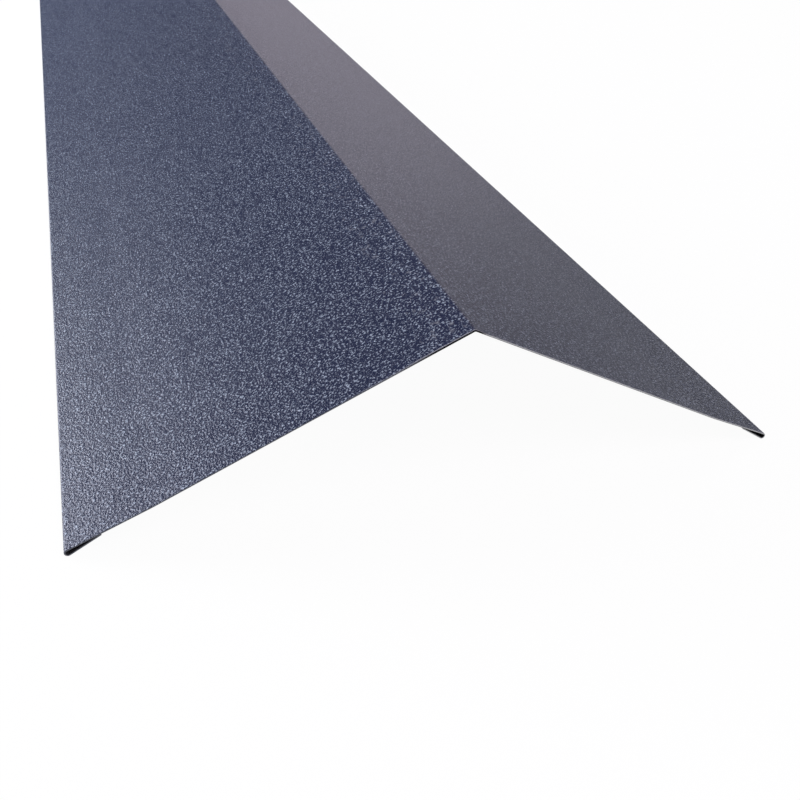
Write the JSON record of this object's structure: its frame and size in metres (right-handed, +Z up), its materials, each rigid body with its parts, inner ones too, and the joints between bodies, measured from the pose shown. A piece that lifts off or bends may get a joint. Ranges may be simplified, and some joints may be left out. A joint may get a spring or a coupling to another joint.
{
  "type": "roof ridge cap",
  "caption": "Angular roof ridge cap folded from one coated steel sheet, with a sharp ridge and both long edges turned under in open hems.",
  "frame": {"origin": "on the ground under the middle of the ridge, halfway along the cap", "axes": "+Y along the ridge, +X across the cap, +Z up; the cap stands on the noses of its two hems"},
  "size_m": [0.2698, 2, 0.0665],
  "materials": {
    "coated_sheet": "matt anthracite polyester coil coating with a fine pebble grain"
  },
  "bodies": {
    "root": {"ridge_cap": "coated_sheet"}
  },
  "joints": []
}
